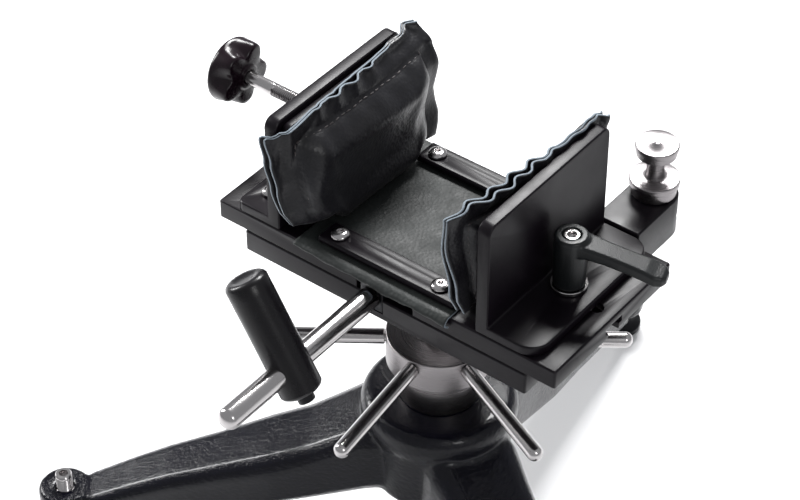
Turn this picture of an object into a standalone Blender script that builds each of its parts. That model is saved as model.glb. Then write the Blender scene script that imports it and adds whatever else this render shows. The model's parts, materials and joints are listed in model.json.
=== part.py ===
"""Bench-top cradle rest on a cast tripod: height capstan, sideways traverse and two padded jaws.

Frame: +Z up, floor at z = 0, origin under the middle of the object's bounding box.
X runs along the carriage's long side, and -Y is the user's side, where the traverse handle is.
Sizes are in millimetres. MM turns them into metres when a mesh is made.
"""
import math

import bmesh
import bpy
from mathutils import Matrix, Vector

MM = 0.001
GAP = 0.3                      # between pieces that touch

# Heights above the floor
BOSS_TOP = 125.4
COLLAR_TOP = 148.4
HUB_BOTTOM = 150.3
HUB_TOP = 170.6
SPOKE_Z = 165.1
BED_BOTTOM = 217.4
BED_TOP = 231.5
PLATE_BOTTOM = BED_TOP + GAP
PLATE_TOP = 244.0
SHAFT_Z = 231.2

# Tripod
LEG_ANGLES = {"left": 215.0, "front": 335.0, "back": 95.0}
LEG_REACH = 225.0
LEG_END_R = 16.0
LEG_END_TOP = 34.0
LEG_END_BOTTOM = 16.0
KEY_Z = 99.0
BOSS_R = 46.0
BORE_R = 16.0
# distance from the column, half width, top height, bottom height
LEG_STATIONS = (
    (12.0, 28.0, 112.0, 68.0),
    (42.0, 28.0, 110.0, 64.0),
    (61.0, 26.0, 99.0, 57.0),
    (76.0, 25.0, 90.5, 52.0),
    (98.0, 24.5, 82.0, 46.0),
    (133.0, 20.5, 68.0, 37.0),
    (161.0, 18.5, 57.5, 30.0),
    (182.0, 17.0, 48.0, 25.0),
    (LEG_REACH - 14.0, 15.0, 33.4, 17.0),
)
PAD_R = 15.0
FOOT_SCREW_R = 5.0

# Column and capstan
COLUMN_R = 10.0
COLUMN_BOTTOM = 40.0
KEYWAY_TOP = 128.0
HUB_R = 31.0
COLLAR_R = 24.0
SPOKES = 6
SPOKE_ANGLE = 36.2
SPOKE_R = 4.5
SPOKE_REACH = 108.6
KEY_ANGLE = 155.0
FLANGE_R = 24.0
FLANGE_H = 8.0
FLANGE_ANGLE = 87.0

# Plates
PLATE_HALF_X = 113.4
BED_HALF_X = 95.2
HALF_Y = 54.0
NECK_HALF = 4.9
NECK_TOP = PLATE_BOTTOM + 4.0
GROOVE_HALF = 7.5
GROOVE_TOP = PLATE_BOTTOM + 8.0
RAIL_X = (-88.0, 44.0)
CHAMFER = 0.8

# Traverse: the carriage moves by these amounts along X
TRAVERSE_MINUS = 20.0
TRAVERSE_PLUS = 2.0
SHAFT_X = -6.5
SHAFT_R = 6.35
JOURNAL_R = 4.0
SHAFT_TIP_Y = -HALF_Y - 122.0
HANDLE_Y = -HALF_Y - 68.6
HANDLE_R = 12.0
HANDLE_UP = 54.0
HANDLE_DOWN = 16.0
HANDLE_TILT = 32.0
MODULE = 0.8
TEETH = 17
BACKLASH = 0.24
PITCH_R = MODULE * TEETH / 2
PINION_Y = (-41.0, -33.0)
NOTCH_TOP = PLATE_TOP - 6.0
RACK_X = (SHAFT_X - 7.0, SHAFT_X + TRAVERSE_MINUS + 7.0)
RACK_BACK = PLATE_TOP - 2.6

# Jaws
UPRIGHT_T = 8.0
FOOT_T = 6.0
JAW_TOP = PLATE_TOP + 73.2
RIGHT_OUTER = 70.0
RIGHT_FOOT = 101.6
LEFT_OUTER = -78.0
LEFT_FOOT = -100.5
LEFT_SCREWS_X, LEFT_SCREWS_Y = -89.5, (-38.0, 38.0)
STUD_X = 84.0
STUD_R = 3.0
SLOT_HALF = 4.0
SLOT_X = (66.0, 106.0)
WASHER_T = 2.2
WASHER_R = 10.2
LEVER_TOP = PLATE_TOP + 42.0
LEVER_ANGLE = 17.5
LEVER_REACH = 52.6
LEVER_BOTTOM = PLATE_TOP + GAP + FOOT_T + GAP + WASHER_T + GAP
LEVER_POCKET = LEVER_TOP - 12.0
SCREW_SEAT = LEVER_TOP - 3.4
PRESS_T = 5.0
JAW_SCREW_Z = PLATE_TOP + 42.3
JAW_SCREW_R = 4.0
KNOB_R = 19.2
KNOB_X = -150.0
KNOB_LOBES = 5
KNOB_CUT = 6.6
KNOB_T = 13.6

# Bag and clamp bars
BAG_X = (-58.0, 46.5)
LEATHER_T = 1.2
EAR_HALF_Y = 58.5
EAR_BELLY = 8.0
LIP_DROP = 5.4
PAD_X, PAD_Y, PAD_T = (-38.0, 35.0), (-33.0, 36.4), 0.4
EAR_SHOULDER = PLATE_TOP + 74.2
BAR_Y = {"front": -42.0, "rear": 45.5}
BAR_HALF = 8.0
BAR_X = (-46.5, 45.0)
BAR_BOTTOM = PLATE_TOP + GAP + LEATHER_T + GAP
BAR_TOP = BAR_BOTTOM + 4.3
BAR_SCREWS = (-37.0, 31.0)

# Stop post
BLOCK_X = (63.8, 91.8)
BLOCK_Z = (PLATE_TOP - 18.0, PLATE_TOP + 8.0)
BLOCK_SCREWS_X, BLOCK_SCREWS_Z = (69.2, 86.4), PLATE_TOP - 6.4
POST_X, POST_Y = 77.8, 90.1

# The bounding box runs from one leg's pad to another's, and from the rod's tip to the back pad.
AXIS_X = LEG_REACH * (math.cos(math.radians(35.0)) - math.cos(math.radians(25.0))) / 2
AXIS_Y = -(LEG_REACH * math.sin(math.radians(95.0)) + LEG_END_R + SHAFT_TIP_Y) / 2

# name: base colour, metallic, roughness
MATERIALS = {
    "cast_iron_paint": ((0.012, 0.012, 0.018), 0.0, 0.25),
    "black_anodised": ((0.020, 0.016, 0.020), 0.3, 0.42),
    "black_steel": ((0.02, 0.02, 0.022), 0.8, 0.35),
    "stainless": ((0.62, 0.61, 0.60), 1.0, 0.22),
    "turned_aluminium": ((0.72, 0.72, 0.73), 1.0, 0.28),
    "bronze": ((0.45, 0.29, 0.13), 1.0, 0.35),
    "black_plastic": ((0.015, 0.014, 0.015), 0.0, 0.40),
    "black_leather": ((0.022, 0.022, 0.026), 0.0, 0.38),
    "rubber": ((0.02, 0.02, 0.02), 0.0, 0.8),
}


# ---------------------------------------------------------------- helpers

def clear_scene():
    for item in list(bpy.data.objects):
        bpy.data.objects.remove(item, do_unlink=True)


def make_materials():
    made = {}
    for name, (colour, metallic, roughness) in MATERIALS.items():
        material = bpy.data.materials.new(name)
        material.use_nodes = True
        shader = material.node_tree.nodes["Principled BSDF"]
        shader.inputs["Base Color"].default_value = (*colour, 1.0)
        shader.inputs["Metallic"].default_value = metallic
        shader.inputs["Roughness"].default_value = roughness
        made[name] = material
    return made


def empty(name, at, parent=None):
    """A joint's pivot, placed in millimetres in its parent's frame."""
    item = bpy.data.objects.new(name, None)
    item.location = Vector(at) * MM
    item.empty_display_size = 0.01
    item.parent = parent
    bpy.context.collection.objects.link(item)
    return item


class Group:
    """Pieces that share a parent empty. Meshes are given in the column's frame."""

    def __init__(self, pivot, at, materials):
        self.pivot, self.at, self.materials = pivot, Vector(at), materials

    def add(self, name, bm, material, smooth=True):
        bmesh.ops.translate(bm, verts=bm.verts, vec=-self.at)
        bmesh.ops.scale(bm, verts=bm.verts, vec=(MM, MM, MM))
        bmesh.ops.recalc_face_normals(bm, faces=bm.faces)
        mesh = bpy.data.meshes.new(name)
        bm.to_mesh(mesh)
        bm.free()
        if smooth:
            mesh.shade_smooth()
            mesh.set_sharp_from_angle(angle=math.radians(35))
        item = bpy.data.objects.new(name, mesh)
        item.parent = self.pivot
        bpy.context.collection.objects.link(item)
        mesh.materials.append(self.materials[material])
        return item

    def tool(self, name, bm):
        """A cutter or an added shape, kept out of the model."""
        item = self.add(name, bm, "rubber", smooth=False)
        item.hide_render = True
        item.display_type = "WIRE"
        return item

    def boolean(self, item, operation, bm):
        name = f"tool_{item.name}_{len(item.modifiers)}"
        modifier = item.modifiers.new(name, "BOOLEAN")
        modifier.operation = operation
        modifier.solver = "EXACT"
        modifier.object = self.tool(name, bm)

    def cut(self, item, *shapes):
        for bm in shapes:
            self.boolean(item, "DIFFERENCE", bm)

    def join(self, item, *shapes):
        for bm in shapes:
            self.boolean(item, "UNION", bm)


def arc(centre, radius, start, end, steps):
    """Points on a circle's arc, angles in degrees."""
    points = []
    for i in range(steps + 1):
        a = math.radians(start + (end - start) * i / steps)
        points.append((centre[0] + radius * math.cos(a), centre[1] + radius * math.sin(a)))
    return points


def prism(outline, low, high, normal="Z"):
    """An outline pushed along an axis. For X it lies in YZ, for Y in XZ, for Z in XY."""
    place = {
        "X": lambda p, h: (h, p[0], p[1]),
        "Y": lambda p, h: (p[0], h, p[1]),
        "Z": lambda p, h: (p[0], p[1], h),
    }[normal]
    bm = bmesh.new()
    bottom = [bm.verts.new(place(p, low)) for p in outline]
    top = [bm.verts.new(place(p, high)) for p in outline]
    bm.faces.new(bottom[::-1])
    bm.faces.new(top)
    for i in range(len(outline)):
        j = (i + 1) % len(outline)
        bm.faces.new((bottom[i], bottom[j], top[j], top[i]))
    return bm


def box(x, y, z):
    return prism(((x[0], y[0]), (x[1], y[0]), (x[1], y[1]), (x[0], y[1])), *z)


def rounded(x, y, radii, steps=6):
    """A rectangle with its own radius at each corner, from low x low y and on around."""
    corners = ((x[0], y[0], 1, 1, 180), (x[1], y[0], -1, 1, 270),
               (x[1], y[1], -1, -1, 0), (x[0], y[1], 1, -1, 90))
    points = []
    for (cx, cy, sx, sy, start), radius in zip(corners, radii):
        if radius:
            centre = (cx + sx * radius, cy + sy * radius)
            points += arc(centre, radius, start, start + 90, steps)
        else:
            points.append((cx, cy))
    return points


def slot_outline(low, high, half, y=0.0, steps=8):
    return (arc((high - half, y), half, -90, 90, steps)
            + arc((low + half, y), half, 90, 270, steps))


def turned(profile, segments=32, axis="Z", at=(0, 0, 0)):
    """A closed profile of (radius, height) points turned about an axis through a point."""
    bm = bmesh.new()
    rings = []
    for radius, height in profile:
        if radius < 1e-6:
            rings.append([bm.verts.new((0, 0, height))])
            continue
        ring = []
        for i in range(segments):
            a = 2 * math.pi * i / segments
            ring.append(bm.verts.new((radius * math.cos(a), radius * math.sin(a), height)))
        rings.append(ring)
    solid_core = len(rings[0]) == 1 and len(rings[-1]) == 1
    pairs = list(zip(rings, rings[1:]))
    if not solid_core:
        pairs.append((rings[-1], rings[0]))
    for low, high in pairs:
        for i in range(segments):
            j = (i + 1) % segments
            a, b = low[i % len(low)], low[j % len(low)]
            c, d = high[j % len(high)], high[i % len(high)]
            corners = [a, b, c, d]
            unique = [v for k, v in enumerate(corners) if v not in corners[:k]]
            bm.faces.new(unique)
    turn = {
        "Z": Matrix.Identity(3),
        "X": Matrix.Rotation(math.radians(90), 3, "Y"),
        "Y": Matrix.Rotation(math.radians(-90), 3, "X"),
    }[axis]
    bmesh.ops.rotate(bm, verts=bm.verts, matrix=turn)
    bmesh.ops.translate(bm, verts=bm.verts, vec=at)
    return bm


def rod(radius, low, high, chamfer=0.0, segments=24, axis="Z", at=(0, 0, 0)):
    """A round bar along an axis, with chamfered ends."""
    c = chamfer
    profile = [(0, low)]
    if c:
        profile += [(radius - c, low), (radius, low + c), (radius, high - c), (radius - c, high)]
    else:
        profile += [(radius, low), (radius, high)]
    profile.append((0, high))
    return turned(profile, segments, axis, at)


def ring(inner, outer, low, high, chamfer=0.4, segments=32, axis="Z", at=(0, 0, 0)):
    c = chamfer
    profile = [(inner, low), (outer - c, low), (outer, low + c), (outer, high - c),
               (outer - c, high), (inner, high)]
    return turned(profile, segments, axis, at)


def spin(bm, degrees, at=(0, 0, 0), axis="Z"):
    bmesh.ops.rotate(bm, verts=bm.verts, cent=at,
                     matrix=Matrix.Rotation(math.radians(degrees), 3, axis))
    return bm


def polar(radius, degrees):
    a = math.radians(degrees)
    return radius * math.cos(a), radius * math.sin(a)


def bevel(item, width, segments=1, angle=40.0):
    modifier = item.modifiers.new("edge_break", "BEVEL")
    modifier.width = width * MM
    modifier.segments = segments
    modifier.limit_method = "ANGLE"
    modifier.angle_limit = math.radians(angle)
    modifier.harden_normals = False


def cap_screw(radius, head_r, head_h, tip, seat, segments=16, socket=True, dome=False):
    """A screw along +Z: shank from tip to seat, head above, with a socket in its top."""
    top = seat + head_h
    s = head_r * 0.5
    profile = [(0, tip), (radius, tip), (radius, seat), (head_r, seat)]
    if dome:
        profile += [(head_r, seat + head_h * 0.35), (head_r * 0.85, seat + head_h * 0.75),
                    (head_r * 0.6, top)]
    else:
        profile += [(head_r, top - 0.4), (head_r - 0.4, top)]
    if socket:
        profile += [(s, top), (s, top - head_h * 0.55), (0, top - head_h * 0.55)]
    else:
        profile.append((0, top))
    return turned(profile, segments)


def point_along(bm, axis, at):
    """Turns a shape made along +Z to point along another axis and moves it."""
    turn = {"+Z": (0, "X"), "-Z": (180, "X"), "+X": (90, "Y"), "-X": (-90, "Y"),
            "+Y": (-90, "X"), "-Y": (90, "X")}[axis]
    spin(bm, turn[0], axis=turn[1])
    bmesh.ops.translate(bm, verts=bm.verts, vec=at)
    return bm


# ---------------------------------------------------------------- base

def leg(degrees):
    """A tapering cast leg: a loft through chamfered sections, turned to its direction."""
    bm = bmesh.new()
    sections = []
    for reach, half, top, bottom in LEG_STATIONS:
        c = half * 0.36
        d = (top - bottom) * 0.16
        outline = ((-half * 0.86, bottom), (half * 0.86, bottom), (half, bottom + d), (half, top - c),
                   (half - c * 0.35, top - c * 0.35), (half - c, top), (-half + c, top),
                   (-half + c * 0.35, top - c * 0.35), (-half, top - c), (-half, bottom + d))
        sections.append([bm.verts.new((reach, y, z)) for y, z in outline])
    for near, far in zip(sections, sections[1:]):
        for i in range(len(near)):
            j = (i + 1) % len(near)
            bm.faces.new((near[i], near[j], far[j], far[i]))
    bm.faces.new(sections[0])
    bm.faces.new(sections[-1][::-1])
    return spin(bm, degrees)


def base_casting(base):
    boss = turned([(0, 60), (36, 60), (41, 66), (43, 104), (BOSS_R - 0.8, 110), (BOSS_R, 114),
                   (BOSS_R - 0.4, 119), (BOSS_R - 2.2, 122.6), (BOSS_R - 5, BOSS_TOP - 0.6),
                   (BOSS_R - 8, BOSS_TOP), (0, BOSS_TOP)], 40)
    item = base.add("base_casting", boss, "cast_iron_paint")
    for degrees in LEG_ANGLES.values():
        base.join(item, leg(degrees))
        base.join(item, rod(LEG_END_R, LEG_END_BOTTOM, LEG_END_TOP, 1.5, 24,
                            at=(*polar(LEG_REACH, degrees), 0)))
    base.cut(item, rod(BORE_R, 40, 150, segments=32))
    for degrees in LEG_ANGLES.values():
        base.cut(item, rod(FOOT_SCREW_R + GAP, 0, 60, segments=16,
                           at=(*polar(LEG_REACH, degrees), 0)))
    key = point_along(rod(3.3, 5, 60, segments=12), "+X", (0, 0, KEY_Z))
    base.cut(item, spin(key, KEY_ANGLE))


def column_guides(base):
    bush = base.add("column_bush", ring(COLUMN_R + GAP, BORE_R - GAP, 68, BOSS_TOP - GAP, 0.5, 32),
                    "bronze")
    base.cut(bush, spin(point_along(rod(3.3, 5, 60, segments=12), "+X", (0, 0, KEY_Z)), KEY_ANGLE))
    base.add("thrust_collar", ring(COLUMN_R + GAP, COLLAR_R, BOSS_TOP + GAP, COLLAR_TOP, 0.8, 40),
             "turned_aluminium")
    base.add("thrust_washer", ring(COLUMN_R + GAP, COLLAR_R + 0.6, COLLAR_TOP + GAP,
                                   HUB_BOTTOM - GAP, 0.2, 40),
             "stainless")
    profile = [(0, 8.2), (1.8, 8.2), (1.8, 14), (3.0, 15), (3.0, 45), (2.6, 45.4), (1.6, 45.4),
               (1.6, 43), (0, 43)]
    key = point_along(turned(profile, 16), "+X", (0, 0, KEY_Z))
    base.add("guide_key_screw", spin(key, KEY_ANGLE), "black_steel")


def levelling_foot(name, degrees, root, materials):
    """A screw that turns in the leg's end, and the pad that its ball stands in."""
    x, y = polar(LEG_REACH, degrees)
    pivot = empty(f"pivot_foot_{name}", (x, y, 0), root)
    foot = Group(pivot, (x, y, 0), materials)
    pad = [(0, 0), (PAD_R - 1, 0), (PAD_R, 1.2), (PAD_R, 4.0), (PAD_R - 4.5, 7.5), (8.0, 12.0),
           (6.0, 12.0), (6.0, 5.0), (0, 5.0)]
    foot.add(f"foot_pad_{name}", turned(pad, 20, at=(x, y, 0)), "black_steel")
    screw = [(0, 5.3), (2.5, 5.3), (4.6, 7.4), (4.6, 9.2), (3.4, 11.5), (FOOT_SCREW_R, 13.0),
             (FOOT_SCREW_R, 43.2), (FOOT_SCREW_R - 0.8, 44), (2.6, 44), (2.6, 40.5), (0, 40.5)]
    foot.add(f"levelling_screw_{name}", turned(screw, 16, at=(x, y, 0)), "stainless")


# ---------------------------------------------------------------- column and capstan

def column(group):
    profile = [(0, COLUMN_BOTTOM), (COLUMN_R - 1, COLUMN_BOTTOM), (COLUMN_R, COLUMN_BOTTOM + 1),
               (COLUMN_R, BED_BOTTOM - 1), (COLUMN_R - 0.5, BED_BOTTOM - GAP),
               (0, BED_BOTTOM - GAP)]
    item = group.add("lift_column", turned(profile, 32), "stainless")
    keyway = box((7.6, 12), (-2.2, 2.2), (COLUMN_BOTTOM - 5, KEYWAY_TOP))
    group.cut(item, spin(keyway, KEY_ANGLE))
    top = BED_BOTTOM - GAP
    flange = ring(COLUMN_R + GAP, FLANGE_R, top - FLANGE_H, top, 0.6, 32)
    item = group.add("column_flange", flange, "black_steel")
    for i in range(3):
        x, y = polar(17.0, FLANGE_ANGLE + 120 * i)
        group.cut(item, rod(2.3 + GAP, top - 20, top + 5, segments=12, at=(x, y, 0)))
        screw = cap_screw(2.3, 4.2, 4.0, -FLANGE_H - 9, GAP, 16)
        group.add(f"flange_screw_{i + 1}",
                  point_along(screw, "-Z", (x, y, top - FLANGE_H)), "black_steel")


def slide_bed(group):
    outline = rounded((-BED_HALF_X, BED_HALF_X), (-HALF_Y, HALF_Y), (1.5,) * 4, 3)
    item = group.add("slide_bed", prism(outline, BED_BOTTOM, BED_TOP), "black_anodised", smooth=False)
    bevel(item, CHAMFER)
    pocket = box((SHAFT_X - 7.9, SHAFT_X + 7.9), (-HALF_Y - 1, -19.4), (SHAFT_Z - 9.2, BED_TOP + 2))
    group.cut(item, pocket)
    for i in range(3):
        x, y = polar(17.0, FLANGE_ANGLE + 120 * i)
        group.cut(item, rod(2.3 + GAP, BED_BOTTOM - 2, BED_BOTTOM + 9.5, segments=12, at=(x, y, 0)))
    neck, head = NECK_HALF - GAP, GROOVE_HALF - GAP
    low, step, high = BED_TOP + GAP, NECK_TOP + GAP, GROOVE_TOP - GAP
    rail = [(-neck, low), (neck, low), (neck, step), (head, step), (head, high), (-head, high),
            (-head, step), (-neck, step)]
    group.add("guide_rail", prism(rail, *RAIL_X, normal="X"), "stainless", smooth=False)


def shaft_bearings(group):
    for name, low, high in (("front", -HALF_Y + GAP, -42.6), ("rear", -30.6, -19.7)):
        body = box((SHAFT_X - 7.5, SHAFT_X + 7.5), (low, high), (SHAFT_Z - 8.9, NOTCH_TOP - 0.4))
        item = group.add(f"shaft_bearing_{name}", body, "black_steel", smooth=False)
        bore = rod(JOURNAL_R + GAP, low - 2, high + 2, segments=20, axis="Y",
                   at=(SHAFT_X, 0, SHAFT_Z))
        group.cut(item, bore)


def capstan(group):
    profile = [(COLUMN_R + GAP, HUB_BOTTOM), (HUB_R - 1, HUB_BOTTOM), (HUB_R, HUB_BOTTOM + 1),
               (HUB_R, HUB_TOP - 0.8), (HUB_R - 0.8, HUB_TOP), (COLUMN_R + 1.3, HUB_TOP),
               (COLUMN_R + GAP, HUB_TOP - 1)]
    hub = group.add("capstan_hub", turned(profile, 48), "turned_aluminium")
    for i in range(SPOKES):
        angle = SPOKE_ANGLE + 360.0 * i / SPOKES
        hole = point_along(rod(3.3, 23, 40, segments=12), "+X", (0, 0, SPOKE_Z))
        group.cut(hub, spin(hole, angle))
        root = HUB_R + GAP
        dome = [(SPOKE_R * math.cos(a), SPOKE_REACH - SPOKE_R + SPOKE_R * math.sin(a))
                for a in (math.radians(30 * k) for k in range(1, 3))]
        spoke = [(0, 23.5), (3.0, 23.5), (3.0, root), (SPOKE_R - 0.4, root), (SPOKE_R, root + 0.4),
                 (SPOKE_R, SPOKE_REACH - SPOKE_R), *dome, (0, SPOKE_REACH)]
        bm = point_along(turned(spoke, 16), "+X", (0, 0, SPOKE_Z))
        group.add(f"capstan_spoke_{i + 1}", spin(bm, angle), "stainless")


# ---------------------------------------------------------------- traverse

def involute_tooth(half_turn):
    """One tooth's outline from root to root, about angle 0, as (radius, angle) pairs."""
    pressure = math.radians(20)
    base_r = PITCH_R * math.cos(pressure)
    tip_r = PITCH_R + MODULE * 0.95
    root_r = PITCH_R - MODULE * 1.25
    inv = math.tan(pressure) - pressure
    half_at_pitch = math.pi / (2 * TEETH) - BACKLASH / (2 * PITCH_R)
    side = [(root_r, half_at_pitch + inv + 0.015)]
    for k in range(4):
        r = base_r + (tip_r - base_r) * k / 3
        a = math.acos(min(1.0, base_r / r))
        side.append((r, half_at_pitch + inv - (math.tan(a) - a)))
    return [(r, half_turn - a) for r, a in side] + [(r, half_turn + a) for r, a in side[::-1]]


def pinion_outline():
    """A tooth points straight up at rest, so the rack has a gap there."""
    points = []
    for i in range(TEETH):
        centre = math.pi / 2 + 2 * math.pi * i / TEETH
        for r, a in involute_tooth(centre):
            points.append((SHAFT_X + r * math.cos(a), SHAFT_Z + r * math.sin(a)))
    return points


def rack_outline(low, high, back):
    """Straight 20 degree flanks, with a gap above the shaft and the teeth pointing down."""
    pitch = math.pi * MODULE
    line = SHAFT_Z + PITCH_R
    tip, root = line - MODULE * 0.95, line + MODULE * 1.25
    lean = math.tan(math.radians(20))
    half = pitch / 4 - BACKLASH / 2
    first = math.ceil((low + 1.2 - SHAFT_X) / pitch - 0.5)
    last = math.floor((high - 1.2 - SHAFT_X) / pitch - 0.5)
    points = [(low, root)]
    for k in range(first, last + 1):
        x = SHAFT_X + (k + 0.5) * pitch
        wide, thin = half + lean * (root - line), half - lean * (line - tip)
        points += [(x - wide, root), (x - thin, tip), (x + thin, tip), (x + wide, root)]
    return points + [(high, root), (high, back), (low, back)]


def traverse_shaft(group):
    dome = [(SHAFT_R * math.cos(a), -SHAFT_TIP_Y - SHAFT_R * 0.8 + SHAFT_R * 0.8 * math.sin(a))
            for a in (math.radians(22.5 * k) for k in range(1, 4))]
    profile = [(0, 20.5), (JOURNAL_R - 0.4, 20.5), (JOURNAL_R, 21.0), (JOURNAL_R, HALF_Y + GAP),
               (SHAFT_R, HALF_Y + GAP), (SHAFT_R, -SHAFT_TIP_Y - SHAFT_R * 0.8), *dome,
               (0, -SHAFT_TIP_Y)]
    bar = turned(profile, 24)
    group.add("traverse_shaft", point_along(bar, "-Y", (SHAFT_X, 0, SHAFT_Z)), "stainless")
    gear = prism(pinion_outline(), *PINION_Y, normal="Y")
    item = group.add("pinion", gear, "black_steel", smooth=False)
    group.cut(item, rod(JOURNAL_R + GAP, -60, 0, segments=20, axis="Y", at=(SHAFT_X, 0, SHAFT_Z)))
    place = (SHAFT_X, HANDLE_Y, SHAFT_Z)
    grip = rod(HANDLE_R, -HANDLE_DOWN, HANDLE_UP, 2.2, 32)
    grip = group.add("traverse_handle", tilt(grip, place), "black_plastic")
    group.cut(grip, rod(SHAFT_R + GAP, HANDLE_Y - 30, HANDLE_Y + 30, segments=20, axis="Y",
                        at=(SHAFT_X, 0, SHAFT_Z)))
    group.cut(grip, tilt(rod(3.0, -30, 0, segments=12), place))
    head = HANDLE_DOWN + GAP
    profile = [(0, -SHAFT_R - GAP - 0.2), (2.7, -SHAFT_R - GAP - 0.2), (2.7, -head), (4.8, -head),
               (4.8, -head - 2.6), (3.6, -head - 4.6), (2.2, -head - 5.2), (2.2, -head - 2.8),
               (0, -head - 2.8)]
    group.add("handle_clamp_screw", tilt(turned(profile, 16), place), "black_steel")


def tilt(bm, place):
    """Leans a piece made along Z about the shaft's axis, and puts it on the shaft."""
    spin(bm, -HANDLE_TILT, axis="Y")
    bmesh.ops.translate(bm, verts=bm.verts, vec=place)
    return bm


def carriage_plate(group):
    outline = rounded((-PLATE_HALF_X, PLATE_HALF_X), (-HALF_Y, HALF_Y), (1.5,) * 4, 3)
    item = group.add("carriage_plate", prism(outline, PLATE_BOTTOM, PLATE_TOP), "black_anodised",
                     smooth=False)
    bevel(item, CHAMFER)
    under = PLATE_BOTTOM - 2
    group.cut(
        item,
        prism(((-NECK_HALF, under), (NECK_HALF, under), (NECK_HALF, NECK_TOP),
               (GROOVE_HALF, NECK_TOP), (GROOVE_HALF, GROOVE_TOP), (-GROOVE_HALF, GROOVE_TOP),
               (-GROOVE_HALF, NECK_TOP), (-NECK_HALF, NECK_TOP)),
              -PLATE_HALF_X - 5, PLATE_HALF_X + 5, normal="X"),
        prism(slot_outline(*SLOT_X, SLOT_HALF), GROOVE_TOP - 1, PLATE_TOP + 2),
        box((SHAFT_X - 7.5 - TRAVERSE_PLUS - 0.4, SHAFT_X + 7.5 + TRAVERSE_MINUS + 0.4),
            (-HALF_Y - 1, -19.2), (under, NOTCH_TOP)),
        box((RACK_X[0] - GAP, RACK_X[1] + GAP), (PINION_Y[0] - 0.4, PINION_Y[1] + 0.4),
            (NOTCH_TOP - 1, RACK_BACK + GAP)),
    )
    for x in BAR_SCREWS:
        for y in BAR_Y.values():
            group.cut(item, rod(2.5 + GAP, PLATE_TOP - 7.5, PLATE_TOP + 2, segments=12, at=(x, y, 0)))
    for y in LEFT_SCREWS_Y:
        group.cut(item, rod(2.5 + GAP, PLATE_TOP - 8.5, PLATE_TOP + 2, segments=12,
                            at=(LEFT_SCREWS_X, y, 0)))
    for x in BLOCK_SCREWS_X:
        group.cut(item, rod(2.3 + GAP, HALF_Y - 11, HALF_Y + 5, segments=12, axis="Y",
                            at=(x, 0, BLOCK_SCREWS_Z)))


def traverse_rack(group):
    teeth = prism(rack_outline(*RACK_X, RACK_BACK), PINION_Y[0], PINION_Y[1], normal="Y")
    group.add("rack", teeth, "black_steel", smooth=False)


# ---------------------------------------------------------------- jaws

def round_edges(bm, along, radius, steps, wanted):
    """Rounds the edges that run along an axis and whose middle passes the wanted test."""
    axis = "XYZ".index(along)
    chosen = []
    for edge in bm.edges:
        run = edge.verts[1].co - edge.verts[0].co
        if abs(run[axis]) > 0.99 * run.length and wanted((edge.verts[0].co + edge.verts[1].co) / 2):
            chosen.append(edge)
    bmesh.ops.bevel(bm, geom=chosen, offset=radius, offset_type="OFFSET", segments=steps,
                    profile=0.5, affect="EDGES")


def upright(name, group, outer, inner, foot_x, radius, holes):
    """An L-shaped jaw plate, a tall plate on a foot, with rounded free corners."""
    bottom = PLATE_TOP + GAP
    step = bottom + FOOT_T
    outline = ((inner, bottom), (foot_x, bottom), (foot_x, step), (outer, step), (outer, JAW_TOP),
               (inner, JAW_TOP))
    bm = prism(outline, -HALF_Y, HALF_Y, normal="Y")
    round_edges(bm, "X", 6.0, 6, lambda p: p.z > JAW_TOP - 1)
    round_edges(bm, "Z", radius, 8, lambda p: abs(p.x - foot_x) < 1)
    item = group.add(name, bm, "black_anodised", smooth=False)
    bevel(item, 0.7)
    for x, y, hole_r in holes:
        group.cut(item, rod(hole_r, bottom - 3, step + 3, segments=16, at=(x, y, 0)))
    return item


def left_bracket(group):
    holes = [(LEFT_SCREWS_X, y, 2.5 + GAP) for y in LEFT_SCREWS_Y]
    item = upright("left_bracket", group, LEFT_OUTER, LEFT_OUTER + UPRIGHT_T, LEFT_FOOT, 5.0, holes)
    group.cut(item, rod(JAW_SCREW_R + GAP, LEFT_OUTER - 5, LEFT_OUTER + 15, segments=20, axis="X",
                        at=(0, 0, JAW_SCREW_Z)))
    top = PLATE_TOP + GAP + FOOT_T
    for i, y in enumerate(LEFT_SCREWS_Y):
        screw = cap_screw(2.5, 4.6, 3.0, -14.0, GAP, 16, dome=True)
        group.add(f"bracket_screw_{i + 1}", point_along(screw, "+Z", (LEFT_SCREWS_X, y, top)),
                  "stainless")


def pressure_plate(group):
    low = LEFT_OUTER + UPRIGHT_T + GAP
    face = rounded((-50, 50), (PLATE_TOP + 11, PLATE_TOP + 70), (5.0,) * 4)
    item = group.add("pressure_plate", prism(face, low, low + PRESS_T, normal="X"),
                     "black_anodised", smooth=False)
    bevel(item, 0.5)
    group.cut(item, rod(2.6 + GAP, low - 3, low + PRESS_T - 1.2, segments=16, axis="X",
                        at=(0, 0, JAW_SCREW_Z)))


def jaw_screw(group):
    """The knob's screw: its thin nose turns in the pressure plate."""
    seat = LEFT_OUTER + UPRIGHT_T + GAP
    profile = [(0, seat + PRESS_T - 1.6), (2.6, seat + PRESS_T - 1.6), (2.6, seat - GAP),
               (JAW_SCREW_R, seat - GAP), (JAW_SCREW_R, KNOB_X + 9), (0, KNOB_X + 9)]
    group.add("jaw_screw", turned(profile[::-1], 24, "X", (0, 0, JAW_SCREW_Z)), "stainless")


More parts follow.
